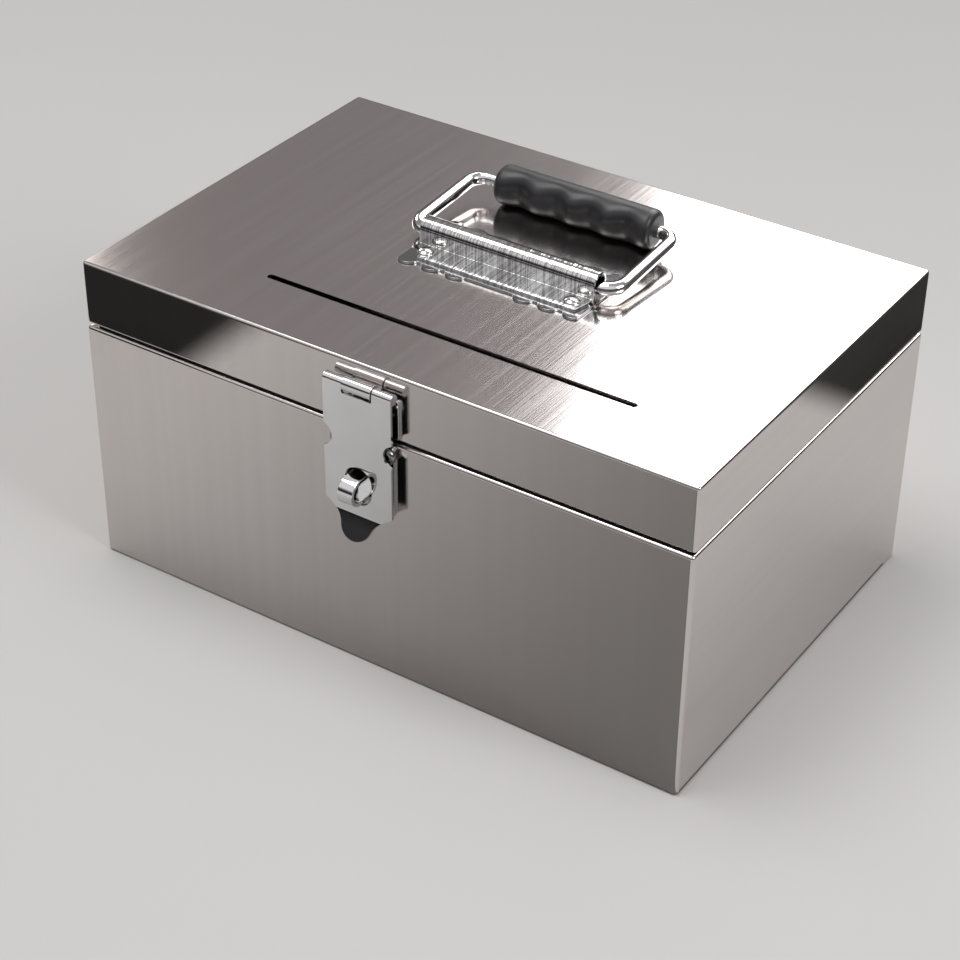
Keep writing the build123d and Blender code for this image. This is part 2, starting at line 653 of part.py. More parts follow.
with BuildPart() as handle_rivets:
    for x in handle_rivet_xs:
        rivet((x, handle_rivet_y, hood_base + hood_sheet), (0, 0, 1), (1, 0, 0),
              handle_rivet_radius, handle_rivet_head, handle_shank_radius,
              hood_sheet + handle_plate_sheet + sheet + backing_sheet,
              handle_rivet_tail_radius, handle_rivet_tail_height)
handle_rivets.part.label = "handle_rivets"
export_step(handle_rivets.part, "parts/handle_rivets.step")

# ---- bail: a closed loop of rod; at rest it leans back until the grip lies just above the lid ----
axle_y = curl_y
axle_z = lid_top + bail_axle_height
rest_angle = asin((grip_radius + rest_clearance - bail_axle_height) / bail_reach)
bail_plane = Plane(origin=(handle_centre_x, axle_y, axle_z), x_dir=(1, 0, 0),
                   z_dir=(0, -sin(rest_angle), cos(rest_angle)))
with BuildPart() as bail_rod:
    with BuildLine(bail_plane) as loop:
        FilletPolyline(
            (-bail_half_width, 0),
            (bail_half_width, 0),
            (bail_half_width, bail_reach),
            (-bail_half_width, bail_reach),
            radius=bail_corner_radius,
            close=True,
        )
    with BuildSketch(Plane(origin=loop.line @ 0, z_dir=loop.line % 0)):
        Circle(bail_rod_radius)
    sweep(path=loop.line)
bail_rod.part.label = "bail_rod"
export_step(bail_rod.part, "parts/bail_rod.step")

# ---- grip: round and straight at the back, four finger valleys on the side that faces the axle ----
grip_shift = grip_centre_x - handle_centre_x
valleys_length = grip_length - 2 * grip_end_length
stations = 4 * grip_steps_per_valley
with BuildPart() as grip:
    for i in range(stations + 1):
        station_x = grip_shift - valleys_length / 2 + valleys_length * i / stations
        depth = grip_valley * sin(4 * pi * i / stations) ** 2
        centre = bail_plane.from_local_coords((station_x, bail_reach, 0))
        with BuildSketch(Plane(origin=centre, x_dir=bail_plane.y_dir, z_dir=(1, 0, 0))):
            with BuildLine():
                ThreePointArc((0, -grip_radius), (grip_radius, 0), (0, grip_radius))
                EllipticalCenterArc((0, 0), grip_radius - depth, grip_radius, 90, arc_size=180)
            make_face()
    loft()
    for side_x in (-1, 1):
        end_centre = bail_plane.from_local_coords((grip_shift + side_x * valleys_length / 2, bail_reach, 0))
        with BuildSketch(Plane(origin=end_centre, x_dir=bail_plane.y_dir, z_dir=(side_x, 0, 0))):
            Circle(grip_radius)
        extrude(amount=grip_end_length)
    fillet(grip.edges().group_by(Axis.X)[0], grip_end_radius)
    fillet(grip.edges().group_by(Axis.X)[-1], grip_end_radius)
    bore_centre = bail_plane.from_local_coords((grip_shift, bail_reach, 0))
    drill(bore_centre, (1, 0, 0), bail_rod_radius, 2 * grip_length)
grip.part.label = "grip"
export_step(grip.part, "parts/grip.step")

print("hinge", 0, hinge_y, hinge_z)
print("hasp", hasp_centre_x, hasp_y, hasp_z)
print("bail", handle_centre_x, axle_y, axle_z, "rest angle", degrees(rest_angle))
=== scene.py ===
"""Bus fare box: finishes, fine pieces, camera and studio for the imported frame. Metres, Z up, front at -Y."""

import json
from math import asin, cos, pi, radians, sin, sqrt, tau

import bmesh
import bpy
from mathutils import Matrix, Vector


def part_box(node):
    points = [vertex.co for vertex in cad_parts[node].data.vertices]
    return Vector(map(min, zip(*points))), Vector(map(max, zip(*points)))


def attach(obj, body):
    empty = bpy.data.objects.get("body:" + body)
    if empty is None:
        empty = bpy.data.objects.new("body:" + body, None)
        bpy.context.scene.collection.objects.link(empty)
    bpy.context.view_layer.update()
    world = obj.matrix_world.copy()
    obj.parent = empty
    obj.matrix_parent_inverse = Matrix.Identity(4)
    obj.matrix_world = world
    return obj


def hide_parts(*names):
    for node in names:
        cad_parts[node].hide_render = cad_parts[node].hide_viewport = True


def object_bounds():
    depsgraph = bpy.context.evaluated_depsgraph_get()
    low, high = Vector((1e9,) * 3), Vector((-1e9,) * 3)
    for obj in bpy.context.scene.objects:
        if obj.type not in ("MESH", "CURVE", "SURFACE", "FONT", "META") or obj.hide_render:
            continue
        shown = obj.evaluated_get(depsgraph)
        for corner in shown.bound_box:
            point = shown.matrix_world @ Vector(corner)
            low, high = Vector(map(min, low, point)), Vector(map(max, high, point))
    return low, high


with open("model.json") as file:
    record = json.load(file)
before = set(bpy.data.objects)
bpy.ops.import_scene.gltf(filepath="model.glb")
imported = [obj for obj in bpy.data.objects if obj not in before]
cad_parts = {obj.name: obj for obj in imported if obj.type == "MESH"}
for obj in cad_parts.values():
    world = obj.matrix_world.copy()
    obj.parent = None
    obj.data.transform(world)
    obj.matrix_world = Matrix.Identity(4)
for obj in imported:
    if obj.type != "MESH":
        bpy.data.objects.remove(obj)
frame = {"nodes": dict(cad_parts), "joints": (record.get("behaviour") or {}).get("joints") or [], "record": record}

cad_low, cad_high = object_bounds()
nodes = frame["nodes"]
slot_of = {row["node"]: row["material_slot"] for row in frame["record"]["subparts"]}
body_of = {node: body for body, members in frame["record"]["behaviour"]["bodies"].items() for node in members}
axis_of = {joint["name"]: Vector(joint["pos_m"]) for joint in frame["joints"]}
MM = 0.001
X, Y, Z = 0, 1, 2

# Points of a CAD mesh that are nearer than this are one point.
WELD = 0.002 * MM


# ---- small helpers for node trees ----
def add(tree, kind, inputs=None, **settings):
    """A new node; inputs maps a socket's name or number to a value or to an output to link."""
    made = tree.nodes.new(kind)
    for name, value in settings.items():
        setattr(made, name, value)
    for key, value in (inputs or {}).items():
        if isinstance(value, bpy.types.NodeSocket):
            tree.links.new(value, made.inputs[key])
        else:
            made.inputs[key].default_value = value
    return made


def calc(tree, operation, a, b=0.0, clamp=False):
    return add(tree, "ShaderNodeMath", {0: a, 1: b}, operation=operation, use_clamp=clamp).outputs[0]


def ranged(tree, value, low, high, to_low=0.0, to_high=1.0):
    """value mapped smoothly from low..high to to_low..to_high."""
    made = add(tree, "ShaderNodeMapRange", {0: value, 1: low, 2: high, 3: to_low, 4: to_high})
    made.interpolation_type = "SMOOTHSTEP"
    return made.outputs[0]


def mixed(tree, factor, first, second):
    """A colour between first and second."""
    made = tree.nodes.new("ShaderNodeMix")
    made.data_type = "RGBA"
    for socket, value in ((made.inputs[0], factor), (made.inputs[6], first), (made.inputs[7], second)):
        if isinstance(value, bpy.types.NodeSocket):
            tree.links.new(value, socket)
        else:
            socket.default_value = value
    return made.outputs[2]


def group(name, inputs, outputs):
    """An empty shader group with float and vector sockets; gives the tree, its input and its output node."""
    tree = bpy.data.node_groups.new(name, "ShaderNodeTree")
    for socket, kind, value in inputs:
        made = tree.interface.new_socket(socket, in_out="INPUT", socket_type=kind)
        if value is not None:
            made.default_value = value
    for socket in outputs:
        tree.interface.new_socket(socket, in_out="OUTPUT", socket_type="NodeSocketFloat")
    return tree, tree.nodes.new("NodeGroupInput"), tree.nodes.new("NodeGroupOutput")


def use(tree, shared, inputs):
    return add(tree, "ShaderNodeGroup", inputs, node_tree=shared)


def weighed(tree, first, share, second):
    """The two values added up, where first counts for share and second for the rest."""
    return calc(tree, "ADD", calc(tree, "MULTIPLY", first, share), calc(tree, "MULTIPLY", second, 1 - share))


def tinted(colour, factor=1.0):
    """A colour with its opacity, made darker or lighter by factor."""
    return (*[part * factor for part in colour], 1)


# ---- shared effects ----
def brush_lines():
    """Fine straight scratches: upright on the front and back, front to back on the top and the sides."""
    tree, given, result = group("Brush Lines", [
        ("Vector", "NodeSocketVector", None),
        ("Normal", "NodeSocketVector", None),
        ("Lines Per Metre", "NodeSocketFloat", 1500.0),
        ("Streak Per Metre", "NodeSocketFloat", 9.0),
    ], ["Lines", "Streaks"])
    fine = given.outputs["Lines Per Metre"]
    slow = given.outputs["Streak Per Metre"]
    across_x = add(tree, "ShaderNodeCombineXYZ", {0: fine, 1: slow, 2: slow}).outputs[0]
    across_z = add(tree, "ShaderNodeCombineXYZ", {0: slow, 1: slow, 2: fine}).outputs[0]
    facing = add(tree, "ShaderNodeSeparateXYZ", {0: given.outputs["Normal"]}).outputs[0]
    on_side = calc(tree, "GREATER_THAN", calc(tree, "ABSOLUTE", facing), 0.7)
    for name, detail, shrink in (("Lines", 3.0, 1.0), ("Streaks", 2.0, 0.12)):
        values = []
        for scale in (across_x, across_z):
            place = add(tree, "ShaderNodeVectorMath", {0: given.outputs["Vector"], 1: scale},
                        operation="MULTIPLY").outputs[0]
            noise = add(tree, "ShaderNodeTexNoise", {"Vector": place, "Scale": shrink, "Detail": detail})
            values.append(noise.outputs[0])
        blend = add(tree, "ShaderNodeMix", {0: on_side, 2: values[0], 3: values[1]})
        tree.links.new(blend.outputs[0], result.inputs[name])
    return tree


def handling_marks():
    """Soft cloudy patches, as polish and finger marks leave on metal."""
    tree, given, result = group("Handling Marks", [
        ("Vector", "NodeSocketVector", None),
        ("Patches Per Metre", "NodeSocketFloat", 14.0),
        ("Sharpness", "NodeSocketFloat", 0.2),
    ], ["Mask"])
    noise = add(tree, "ShaderNodeTexNoise", {"Vector": given.outputs["Vector"],
                                             "Scale": given.outputs["Patches Per Metre"], "Detail": 4.0})
    low = calc(tree, "SUBTRACT", 0.5, given.outputs["Sharpness"])
    high = calc(tree, "ADD", 0.5, given.outputs["Sharpness"])
    mask = add(tree, "ShaderNodeMapRange", {0: noise.outputs[0], 1: low, 2: high})
    tree.links.new(mask.outputs[0], result.inputs["Mask"])
    return tree


BRUSH = brush_lines()
MARKS = handling_marks()


# ---- materials ----
def started(name):
    """A new material, its tree, its shader, and the object coordinates and normal."""
    material = bpy.data.materials.new(name)
    material.use_nodes = True
    tree = material.node_tree
    place = tree.nodes.new("ShaderNodeTexCoord")
    return material, tree, tree.nodes["Principled BSDF"], place.outputs["Object"], place.outputs["Normal"]


def embossed(tree, shader, height, strength, depth):
    relief = add(tree, "ShaderNodeBump", {"Strength": strength, "Distance": depth, "Height": height})
    tree.links.new(relief.outputs[0], shader.inputs["Normal"])


def brushed(name, dark, light, smooth, rough, depth, lines=1500.0):
    """Brushed stainless sheet: fine lines in roughness and relief, slow streaks and marks in the colour."""
    material, tree, metal, place, normal = started(name)
    metal.inputs["Metallic"].default_value = 1.0
    brush = use(tree, BRUSH, {"Vector": place, "Normal": normal, "Lines Per Metre": lines})
    marks = use(tree, MARKS, {"Vector": place, "Patches Per Metre": 11.0, "Sharpness": 0.3})
    streaks = ranged(tree, brush.outputs["Streaks"], 0.2, 0.8)
    tone = weighed(tree, streaks, 0.6, marks.outputs["Mask"])
    tree.links.new(mixed(tree, tone, tinted(dark), tinted(light)), metal.inputs["Base Color"])
    grain = ranged(tree, brush.outputs["Lines"], 0.3, 0.7)
    wear = weighed(tree, grain, 0.7, marks.outputs["Mask"])
    tree.links.new(ranged(tree, wear, 0.0, 1.0, smooth, rough), metal.inputs["Roughness"])
    embossed(tree, metal, brush.outputs["Lines"], 0.22, depth)
    return material


def chromed(name, base, smooth, rough, wave, comb=0.0):
    """Bright chrome plate: faint waviness, light wipe marks, and draw marks across X where comb is over 0."""
    material, tree, metal, place, _ = started(name)
    metal.inputs["Metallic"].default_value = 1.0
    marks = use(tree, MARKS, {"Vector": place, "Patches Per Metre": 90.0, "Sharpness": 0.25})
    shade = mixed(tree, marks.outputs["Mask"], tinted(base, 0.93), tinted(base))
    tree.links.new(ranged(tree, marks.outputs["Mask"], 0.0, 1.0, smooth, rough), metal.inputs["Roughness"])
    waves = add(tree, "ShaderNodeTexNoise", {"Vector": place, "Scale": 160.0, "Detail": 1.0})
    height = waves.outputs[0]
    if comb:
        squeezed = add(tree, "ShaderNodeVectorMath", {0: place, 1: (1100.0, 8.0, 30.0)}, operation="MULTIPLY")
        teeth = add(tree, "ShaderNodeTexNoise", {"Vector": squeezed.outputs[0], "Scale": 1.0, "Detail": 1.0})
        height = calc(tree, "ADD", height, calc(tree, "MULTIPLY", teeth.outputs[0], comb))
        drawn = ranged(tree, teeth.outputs[0], 0.36, 0.6)
        shade = mixed(tree, drawn, tinted(base, 0.5), shade)
    tree.links.new(shade, metal.inputs["Base Color"])
    embossed(tree, metal, height, 0.5, wave)
    return material


def moulded(name, base, smooth, rough, grain, depth):
    """Black plastic or rubber with a fine moulded grain and slightly polished patches."""
    material, tree, plastic, place, _ = started(name)
    marks = use(tree, MARKS, {"Vector": place, "Patches Per Metre": 70.0, "Sharpness": 0.2})
    shade = mixed(tree, marks.outputs["Mask"], tinted(base), tinted(base, 1.5))
    tree.links.new(shade, plastic.inputs["Base Color"])
    tree.links.new(ranged(tree, marks.outputs["Mask"], 0.0, 1.0, smooth, rough), plastic.inputs["Roughness"])
    texture = add(tree, "ShaderNodeTexNoise", {"Vector": place, "Scale": grain, "Detail": 2.0})
    embossed(tree, plastic, texture.outputs[0], 0.4, depth)
    return material


FINISH = {
    "brushed_steel": brushed("brushed stainless", (0.635, 0.595, 0.58), (0.675, 0.64, 0.625),
                             0.11, 0.155, 0.012 * MM),
    "inner_steel": brushed("mill stainless", (0.44, 0.43, 0.42), (0.56, 0.55, 0.54),
                           0.32, 0.46, 0.02 * MM, lines=900.0),
    "hinge_steel": brushed("satin stainless", (0.52, 0.50, 0.49), (0.64, 0.62, 0.61),
                           0.24, 0.36, 0.01 * MM, lines=2200.0),
    "chrome": chromed("bright chrome", (0.86, 0.86, 0.855), 0.04, 0.08, 0.04 * MM),
    "black_grip": moulded("black grip plastic", (0.010, 0.010, 0.0115), 0.33, 0.44, 2600.0, 0.03 * MM),
    "black_rubber": moulded("black rubber", (0.018, 0.018, 0.018), 0.62, 0.78, 1500.0, 0.05 * MM),
}
# Chrome for the handle's base plate, with its colour darkened to 0.40: a painted dark reflection of the dark room
# the plate mirrors, not a smoked finish.
PLATE_CHROME_DARKENED_AS_REFLECTION = chromed("chrome darkened as painted dark reflection", (0.40, 0.40, 0.405), 0.05, 0.09, 0.04 * MM)
# Chrome for the staple's screw heads, with its colour darkened to 0.30: painted shade for the shade and dark
# reflection that the swing plate casts over them, not a dark finish.
SCREW_CHROME_PAINTED_SHADE = chromed("chrome darkened as painted shade on screws", (0.30, 0.30, 0.305), 0.14, 0.22, 0.03 * MM)
HOOD_CHROME = chromed("drawn chrome", (0.86, 0.86, 0.855), 0.05, 0.10, 0.04 * MM, comb=4.0)


# ---- pieces ----
def finished(name, mesh, node, material=None):
    """Turns a mesh into the shown piece that stands for a CAD node, on its body and in its slot."""
    piece = bpy.data.objects.new(name, mesh)
    bpy.context.scene.collection.objects.link(piece)
    mesh.materials.clear()
    mesh.materials.append(material or FINISH[slot_of[node]])
    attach(piece, body_of[node])
    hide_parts(node)


def smoothed(mesh, angle):
    mesh.polygons.foreach_set("use_smooth", [True] * len(mesh.polygons))
    mesh.set_sharp_from_angle(angle=radians(angle))


def softened(node, name, width, angle=38.0, material=None):
    """A sheet or turned piece copied from its CAD node, with its sharp edges rubbed round."""
    work = bmesh.new()
    work.from_mesh(nodes[node].data)
    bmesh.ops.remove_doubles(work, verts=work.verts, dist=WELD)
    bmesh.ops.dissolve_limit(work, angle_limit=radians(0.6), verts=work.verts, edges=work.edges)
    mesh = bpy.data.meshes.new(name + "_shape")
    work.to_mesh(mesh)
    work.free()
    mesh.polygons.foreach_set("use_smooth", [True] * len(mesh.polygons))
    source = bpy.data.objects.new(name + "_source", mesh)
    bpy.context.scene.collection.objects.link(source)
    bevel = source.modifiers.new("rubbed edges", "BEVEL")
    bevel.width = width
    bevel.segments = 2
    bevel.limit_method = "ANGLE"
    bevel.angle_limit = radians(angle)
    bevel.use_clamp_overlap = True
    even = source.modifiers.new("even shading", "WEIGHTED_NORMAL")
    even.weight = 50
    graph = bpy.context.evaluated_depsgraph_get()
    rounded = bpy.data.meshes.new_from_object(source.evaluated_get(graph))
    bpy.data.objects.remove(source)
    finished(name, rounded, node, material)


def ring_mesh(name, rings):
    """A mesh skinned over equal rings of points, with the last ring joined to the first."""
    work = bmesh.new()
    rows = [[work.verts.new(point) for point in ring] for ring in rings]
    count = len(rows[0])
    for first, second in zip(rows, rows[1:] + rows[:1]):
        for i in range(count):
            j = (i + 1) % count
            work.faces.new((first[i], first[j], second[j], second[i]))
    bmesh.ops.recalc_face_normals(work, faces=work.faces)
    mesh = bpy.data.meshes.new(name + "_shape")
    work.to_mesh(mesh)
    work.free()
    return mesh


# The bail's own frame: across is X, out runs from the axle to the grip, up is square to both.
bail_axle = axis_of["bail_hinge"]
rod_low, rod_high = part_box("bail_rod")
grip_low, grip_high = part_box("grip")
ROD_RADIUS = bail_axle.z - rod_low.z
BAIL_REACH = sqrt((rod_high.y - ROD_RADIUS - bail_axle.y) ** 2 + (rod_high.z - ROD_RADIUS - bail_axle.z) ** 2)
bail_rest = asin((rod_high.z - ROD_RADIUS - bail_axle.z) / BAIL_REACH)
bail_out = Vector((0, cos(bail_rest), sin(bail_rest)))
bail_up = Vector((0, -sin(bail_rest), cos(bail_rest)))
across = Vector((1, 0, 0))


def bail_point(x, out, up=0.0):
    return bail_axle + across * x + bail_out * out + bail_up * up


def bail_mesh(bend_radius=7.5 * MM, bend_steps=20, sides=40):
    """A round rod bent to a closed loop with rounded corners."""
    half = (rod_high.x - rod_low.x) / 2 - ROD_RADIUS
    centres = [(half - bend_radius, bend_radius, -pi / 2), (half - bend_radius, BAIL_REACH - bend_radius, 0),
               (bend_radius - half, BAIL_REACH - bend_radius, pi / 2), (bend_radius - half, bend_radius, pi)]
    rings = []
    for centre_x, centre_out, start in centres:
        for step in range(bend_steps + 1):
            turn = start + (pi / 2) * step / bend_steps
            outward = across * cos(turn) + bail_out * sin(turn)
            middle = bail_point(centre_x, centre_out) + outward * bend_radius
            angles = [tau * i / sides for i in range(sides)]
            spokes = [outward * cos(angle) + bail_up * sin(angle) for angle in angles]
            rings.append([middle + spoke * ROD_RADIUS for spoke in spokes])
    mesh = ring_mesh("bail", rings)
    smoothed(mesh, 60.0)
    return mesh


def grip_mesh(valleys=4, valley=2.6 * MM, end_length=3.5 * MM, end_round=3.0 * MM, play=0.05 * MM,
              stations=150, end_steps=8, sides=72):
    """The finger grip: round and straight at the back, with finger valleys on the side facing the axle."""
    half = (grip_high.x - grip_low.x) / 2
    middle_x = (grip_high.x + grip_low.x) / 2 - bail_axle.x
    radius = (grip_high.z - grip_low.z) / 2
    pitch = (2 * half - 2 * end_length) / valleys
    bore_step = radius - ROD_RADIUS - play

    def ring(x, shrink):
        depth = valley / 2 * (1 - cos(tau * x / pitch)) if abs(x) < valleys / 2 * pitch else 0.0
        size = radius - shrink
        points = []
        for i in range(sides):
            away = cos(tau * i / sides)
            out = (size if away > 0 else size - depth) * away
            points.append(bail_point(middle_x + x, BAIL_REACH + out, size * sin(tau * i / sides)))
        return points

    turns = [pi / 2 * i / end_steps for i in range(end_steps + 1)]
    rings = [ring(-half, bore_step)]
    rings += [ring(-half + end_round * (1 - sin(t)), end_round * (1 - cos(t))) for t in reversed(turns)]
    inner = half - end_round
    rings += [ring(-inner + 2 * inner * i / stations, 0.0) for i in range(1, stations)]
    rings += [ring(half - end_round * (1 - sin(t)), end_round * (1 - cos(t))) for t in turns]
    rings += [ring(half, bore_step)]
    mesh = ring_mesh("grip", rings)
    smoothed(mesh, 50.0)
    return mesh


# ---- rivets: one node tree puts a domed rivet on every given point ----
def rivet_tree():
    """A domed head, a shank and a flat tail on each point; each rivet is spun by a different amount."""
    tree = bpy.data.node_groups.new("Domed Rivets", "GeometryNodeTree")
    tree.interface.new_socket("Points", in_out="INPUT", socket_type="NodeSocketGeometry")
    for name in ("Head Radius", "Head Height", "Shank Radius", "Grip Length", "Tail Radius",
                 "Tail Height", "Tilt"):
        tree.interface.new_socket(name, in_out="INPUT", socket_type="NodeSocketFloat")
    tree.interface.new_socket("Seed", in_out="INPUT", socket_type="NodeSocketInt")
    tree.interface.new_socket("Finish", in_out="INPUT", socket_type="NodeSocketMaterial")
    tree.interface.new_socket("Rivets", in_out="OUTPUT", socket_type="NodeSocketGeometry")
    given = tree.nodes.new("NodeGroupInput").outputs
    result = tree.nodes.new("NodeGroupOutput")

    def vector(x, y, z):
        return add(tree, "ShaderNodeCombineXYZ", {0: x, 1: y, 2: z}).outputs[0]

    def below(value):
        return calc(tree, "MULTIPLY", value, -1.0)

    ball = add(tree, "GeometryNodeMeshUVSphere", {"Segments": 48, "Rings": 24, "Radius": 1.0})
    round_ball = add(tree, "GeometryNodeSetShadeSmooth", {"Geometry": ball.outputs[0]})
    head = add(tree, "GeometryNodeTransform", {
        "Geometry": round_ball.outputs[0],
        "Scale": vector(given["Head Radius"], given["Head Radius"], given["Head Height"])})
    shank = add(tree, "GeometryNodeMeshCylinder", {
        "Vertices": 32, "Radius": given["Shank Radius"], "Depth": given["Grip Length"]})
    shank_set = add(tree, "GeometryNodeTransform", {
        "Geometry": shank.outputs[0],
        "Translation": vector(0.0, 0.0, below(calc(tree, "MULTIPLY", given["Grip Length"], 0.5)))})
    tail = add(tree, "GeometryNodeMeshCylinder", {
        "Vertices": 40, "Radius": given["Tail Radius"], "Depth": given["Tail Height"]})
    tail_middle = calc(tree, "ADD", given["Grip Length"], calc(tree, "MULTIPLY", given["Tail Height"], 0.5))
    tail_set = add(tree, "GeometryNodeTransform", {
        "Geometry": tail.outputs[0], "Translation": vector(0.0, 0.0, below(tail_middle))})
    whole = tree.nodes.new("GeometryNodeJoinGeometry")
    for part in (head, shank_set, tail_set):
        tree.links.new(part.outputs[0], whole.inputs[0])
    placed = add(tree, "GeometryNodeInstanceOnPoints", {
        "Points": given["Points"], "Instance": whole.outputs[0],
        "Rotation": vector(given["Tilt"], 0.0, 0.0)})
    spin = add(tree, "FunctionNodeRandomValue", {"Seed": given["Seed"]}, data_type="FLOAT")
    spin.inputs[3].default_value = tau
    spun = add(tree, "GeometryNodeRotateInstances", {
        "Instances": placed.outputs[0], "Rotation": vector(0.0, 0.0, spin.outputs[1])})
    real = add(tree, "GeometryNodeRealizeInstances", {"Geometry": spun.outputs[0]})
    coated = add(tree, "GeometryNodeSetMaterial", {"Geometry": real.outputs[0], "Material": given["Finish"]})
    tree.links.new(coated.outputs[0], result.inputs[0])
    return tree


def loose_boxes(mesh):
    """The low and high corner of every separate solid in a mesh, always in the same order."""
    work = bmesh.new()
    work.from_mesh(mesh)
    bmesh.ops.remove_doubles(work, verts=work.verts, dist=WELD)
    waiting = set(work.verts)
    boxes = []
    while waiting:
        reached = [waiting.pop()]
        for vert in reached:
            for edge in vert.link_edges:
                other = edge.other_vert(vert)
                if other in waiting:
                    waiting.remove(other)
                    reached.append(other)
        boxes.append((Vector([min(v.co[k] for v in reached) for k in (X, Y, Z)]),
                      Vector([max(v.co[k] for v in reached) for k in (X, Y, Z)])))
    work.free()
    return sorted(boxes, key=lambda box: [round(part / MM, 2) for part in box[0]])


RIVETS = rivet_tree()


def riveted(node, name, axis, sign, head_height, shank_radius, tail_radius, tail_height):
    """Rivets in place of a CAD node; the heads stand out along +axis or -axis, as sign says."""
    boxes = loose_boxes(nodes[node].data)
    length = boxes[0][1][axis] - boxes[0][0][axis]
    spots = []
    for low, high in boxes:
        spot = (low + high) / 2
        spot[axis] = (high if sign > 0 else low)[axis] - sign * head_height
        spots.append(spot)
    points = bpy.data.meshes.new(name + "_points")
    points.from_pydata(spots, [], [])
    source = bpy.data.objects.new(name + "_source", points)
    bpy.context.scene.collection.objects.link(source)
    maker = source.modifiers.new("rivets", "NODES")
    maker.node_group = RIVETS
    values = {
        "Head Radius": (boxes[0][1].x - boxes[0][0].x) / 2,
        "Head Height": head_height,
        "Shank Radius": shank_radius,
        "Grip Length": length - head_height - tail_height,
        "Tail Radius": tail_radius,
        "Tail Height": tail_height,
        "Tilt": 0.0 if axis == Z else -sign * pi / 2,
        "Seed": 5,
        "Finish": FINISH[slot_of[node]],
    }
    for socket in RIVETS.interface.items_tree:
        if socket.in_out == "INPUT" and socket.name in values:
            maker[socket.identifier] = values[socket.name]
    graph = bpy.context.evaluated_depsgraph_get()
    mesh = bpy.data.meshes.new_from_object(source.evaluated_get(graph))
    bpy.data.objects.remove(source)
    finished(name, mesh, node)


riveted("handle_rivets", "handle_domes", Z, 1,
        head_height=1.6 * MM, shank_radius=2.0 * MM, tail_radius=3.4 * MM, tail_height=1.2 * MM)
for node, name, sign in (("hasp_rivets", "hasp_domes", -1),
                         ("hinge_lid_rivets", "hinge_lid_domes", 1),
                         ("hinge_body_rivets", "hinge_body_domes", 1)):
    riveted(node, name, Y, sign,
            head_height=1.3 * MM, shank_radius=1.5 * MM, tail_radius=2.6 * MM, tail_height=0.8 * MM)

finished("bail", bail_mesh(), "bail_rod")
finished("finger_grip", grip_mesh(), "grip")
softened("handle_hood", "hood", 0.25 * MM, material=HOOD_CHROME)
# The base plate gets the chrome darkened as a painted dark reflection.
softened("handle_plate", "handle_base", 0.22 * MM, material=PLATE_CHROME_DARKENED_AS_REFLECTION)
softened("hasp_plate", "hasp_swing_plate", 0.25 * MM)
softened("hasp_leaf", "hasp_fixed_leaf", 0.22 * MM)
softened("staple_plate", "staple_base", 0.22 * MM)
softened("staple_loop", "staple_arch", 0.35 * MM)
# The screw heads get the chrome darkened as painted shade.
softened("staple_screws", "staple_screw_heads", 0.10 * MM, material=SCREW_CHROME_PAINTED_SHADE)

for node, shown in nodes.items():
    for place in shown.material_slots:
        place.material = FINISH[slot_of[node]]


# ---- studio: pale floor, soft light, and dark cards that only the metal mirrors ----
def stage_plane(name, centre, size_x, size_y, material):
    """A level plane with its size in its mesh, so that lengths in its material are true."""
    bpy.ops.mesh.primitive_plane_add(size=1.0, location=centre)
    plane = bpy.context.object
    plane.name = name
    plane.data.materials.append(material)
    plane.data.transform(Matrix.Diagonal((size_x, size_y, 1.0, 1.0)))
    return plane


def floor_material():
    material, tree, paper, place, _ = started("pale floor")
    noise = add(tree, "ShaderNodeTexNoise", {"Vector": place, "Scale": 3.0, "Detail": 3.0})
    tree.links.new(mixed(tree, noise.outputs[0], (0.485, 0.48, 0.475, 1), (0.515, 0.51, 0.505, 1)),
                   paper.inputs["Base Color"])
    paper.inputs["Roughness"].default_value = 0.75
    paper.inputs["Specular IOR Level"].default_value = 0.0
    return material


def flag(name, low, high, height, fade, strength):
    """A dark card lying flat at a height, seen only by the metal.

    fade gives the widths over which it thins out at its left, right, front and back edge.
    """
    half = ((high[0] - low[0]) / 2, (high[1] - low[1]) / 2)
    material, tree, paper, place, _ = started(name)
    paper.inputs["Base Color"].default_value = (0.02, 0.02, 0.02, 1)
    paper.inputs["Roughness"].default_value = 1.0
    paper.inputs["Specular IOR Level"].default_value = 0.0
    reach = add(tree, "ShaderNodeSeparateXYZ", {0: place}).outputs
    cover = strength
    for k, side, width in ((X, -1, fade[0]), (X, 1, fade[1]), (Y, -1, fade[2]), (Y, 1, fade[3])):
        if width:
            inside = calc(tree, "SUBTRACT", half[k], calc(tree, "MULTIPLY", reach[k], float(side)))
            cover = calc(tree, "MULTIPLY", ranged(tree, inside, 0.0, width), cover)
    tree.links.new(cover, paper.inputs["Alpha"])
    centre = (low[0] + half[0], low[1] + half[1], height)
    plane = stage_plane(name, centre, 2 * half[0], 2 * half[1], material)
    plane.visible_camera = False
    plane.visible_diffuse = False
    plane.visible_shadow = False


FLOOR_SIZE = 60.0
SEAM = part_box("body_shell")[1].z + 0.7 * MM
OFF_THE_FLOOR = 0.6 * MM
stage_plane("floor", (0, 0, cad_low.z), FLOOR_SIZE, FLOOR_SIZE, floor_material())
flag("left flag", (-0.40, -0.40), (-0.078, -0.101), SEAM, fade=(0, 0.028, 0.04, 0), strength=1.0)
flag("back flag", (0.151, 0.012), (0.50, 0.50), SEAM, fade=(0, 0.10, 0.03, 0), strength=0.97)
flag("front flag", (-0.27, -0.50), (0.151, 0.09), OFF_THE_FLOOR, fade=(0.40, 0, 0.12, 0), strength=0.68)


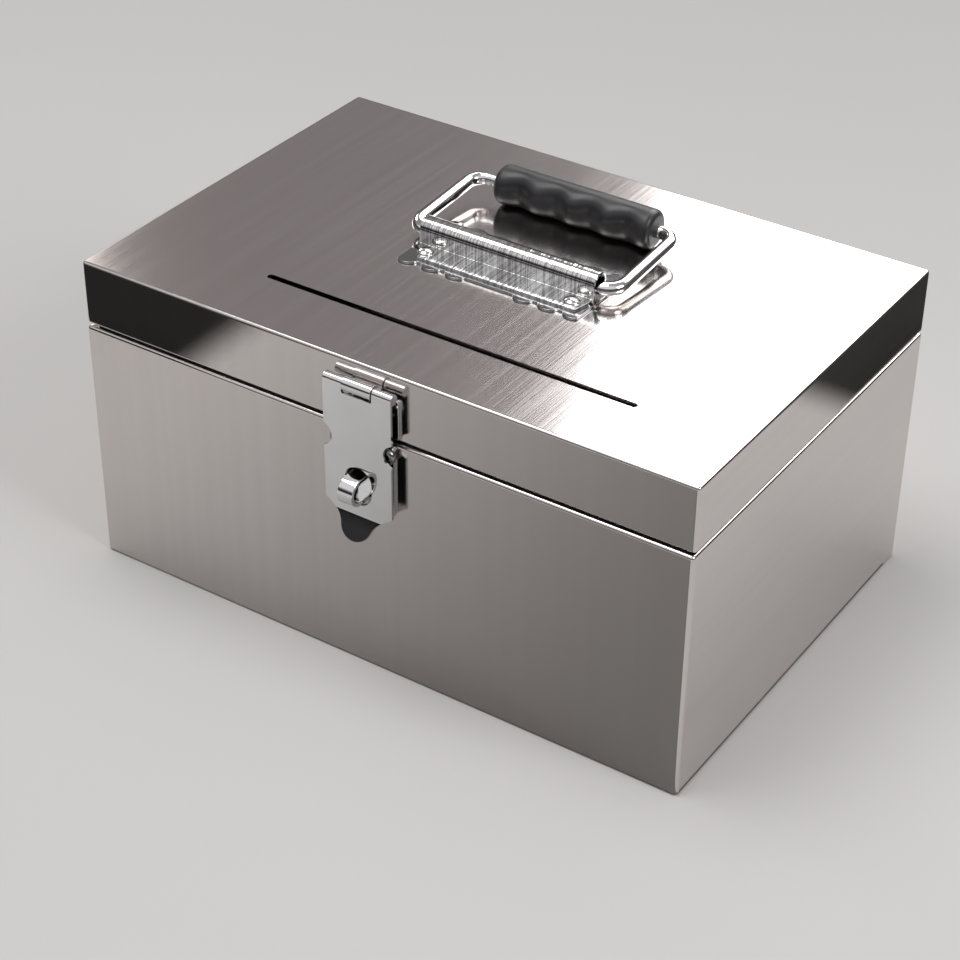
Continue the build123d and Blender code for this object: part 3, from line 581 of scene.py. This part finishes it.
def softbox(name, centre, target, width, height, power, colour=(1, 1, 1), lights_floor=True):
    """An area light that faces target; with lights_floor off it adds no soft light, only reflections."""
    light = bpy.data.lights.new(name, "AREA")
    light.shape = "RECTANGLE"
    light.size = width
    light.size_y = height
    light.energy = power
    light.color = colour
    lamp = bpy.data.objects.new(name, light)
    bpy.context.scene.collection.objects.link(lamp)
    lamp.location = centre
    lamp.rotation_mode = "QUATERNION"
    lamp.rotation_quaternion = (Vector(target) - Vector(centre)).to_track_quat("-Z", "Y")
    lamp.visible_camera = False
    lamp.visible_diffuse = lights_floor


LID_TOP = Vector((0, 0, 0.15))


def around(left, elevation, distance):
    """A point seen from the lid at an angle left of straight back, and above the horizon."""
    a, e = radians(left), radians(elevation)
    return Vector((-sin(a) * cos(e), cos(a) * cos(e), sin(e))) * distance + LID_TOP


softbox("back softbox", around(-2, 38, 2.6), LID_TOP, 2.5, 1.9, 82.0, lights_floor=False)
softbox("overhead softbox", around(120, 72, 2.2), (0, 0, 0.1), 1.5, 1.2, 28.0, (1.0, 0.985, 0.97))
softbox("left strip", around(60, 25, 2.2), LID_TOP, 0.7, 0.6, 4.6, (1.0, 0.95, 0.9), lights_floor=False)
softbox("right softbox", around(-95, 35, 2.2), LID_TOP, 0.9, 0.9, 20.0)


def studio_world():
    """Soft surroundings: dark at the horizon, grey above, lighter overhead and, in the metal, in front."""
    world = bpy.data.worlds.new("studio")
    bpy.context.scene.world = world
    world.use_nodes = True
    tree = world.node_tree
    sky = tree.nodes.new("ShaderNodeTexCoord")
    direction = add(tree, "ShaderNodeSeparateXYZ", {0: sky.outputs["Generated"]})
    height = direction.outputs[2]
    forward = calc(tree, "MULTIPLY", direction.outputs[1], -1.0)
    ray = tree.nodes.new("ShaderNodeLightPath").outputs
    soft = mixed(tree, ranged(tree, height, 0.16, 0.42), (0.03, 0.03, 0.032, 1), (0.27, 0.25, 0.255, 1))
    overhead = mixed(tree, ray["Is Glossy Ray"], (1.1, 1.09, 1.08, 1), (0.38, 0.37, 0.37, 1))
    soft = mixed(tree, ranged(tree, height, 0.6, 0.95), soft, overhead)
    front = calc(tree, "MULTIPLY", ranged(tree, forward, 0.05, 0.35), ranged(tree, height, 0.28, 0.50))
    front = calc(tree, "MULTIPLY", front, ray["Is Glossy Ray"])
    soft = mixed(tree, front, soft, (0.72, 0.71, 0.73, 1))
    colour = mixed(tree, ray["Is Camera Ray"], soft, (0.46, 0.46, 0.46, 1))
    tree.links.new(colour, tree.nodes["Background"].inputs["Color"])


studio_world()

# ---- camera ----
AZIMUTH = radians(33.43)
ELEVATION = radians(34.39)
ROLL = radians(0.589)
DISTANCE = 1.083
SIDE_STEP = -0.009741
RISE = 0.032841
back = Vector((sin(AZIMUTH) * cos(ELEVATION), -cos(AZIMUTH) * cos(ELEVATION), sin(ELEVATION)))
right = Vector((cos(AZIMUTH), sin(AZIMUTH), 0))
up = back.cross(right)
rolled_right = right * cos(ROLL) + up * sin(ROLL)
rolled_up = up * cos(ROLL) - right * sin(ROLL)
camera = bpy.data.objects.new("camera", bpy.data.cameras.new("camera"))
bpy.context.scene.collection.objects.link(camera)
camera.data.sensor_width = 36.0
camera.data.lens = 88.4
camera.data.clip_start = 0.01
camera.data.clip_end = 200.0
turned = Matrix((rolled_right, rolled_up, back)).transposed().to_4x4()
spot = back * DISTANCE + rolled_right * SIDE_STEP + rolled_up * RISE
camera.matrix_world = Matrix.Translation(spot) @ turned
bpy.context.scene.camera = camera
bpy.context.scene.view_settings.view_transform = "Standard"
